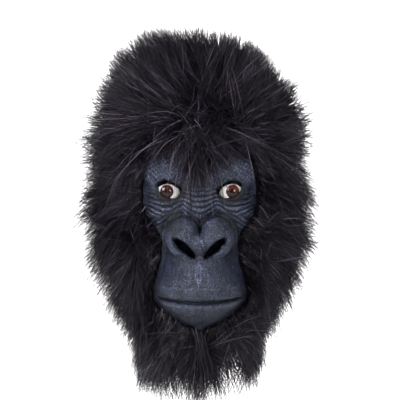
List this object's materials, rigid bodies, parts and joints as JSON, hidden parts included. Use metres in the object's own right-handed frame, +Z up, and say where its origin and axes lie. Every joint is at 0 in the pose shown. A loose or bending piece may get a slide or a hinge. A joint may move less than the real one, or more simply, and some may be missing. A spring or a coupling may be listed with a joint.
{
  "type": "gorilla mask",
  "caption": "Full overhead gorilla mask: hollow latex face with domed eyes, and long-pile fur over crown, sides, nape and chin, worn over the head.",
  "frame": {"origin": "inside of the crown on the upright axis through it, where the mask rests on the top of the wearer's head", "axes": "+Z up; the face looks along -Y; +X is the right-hand side for someone facing the mask"},
  "size_m": [0.2692, 0.2854, 0.363],
  "materials": {
    "latex": "matt, blue-black latex with pale dry-brushed highlights on brow, nose and muzzle",
    "fur_black": "long-pile black synthetic fur",
    "eye_acrylic": "glossy white acrylic with a printed dark brown iris"
  },
  "bodies": {
    "root": {"latex_head": "latex", "fur_hood": "fur_black", "fur_bib": "fur_black", "left_eye": "eye_acrylic", "right_eye": "eye_acrylic"}
  },
  "joints": []
}
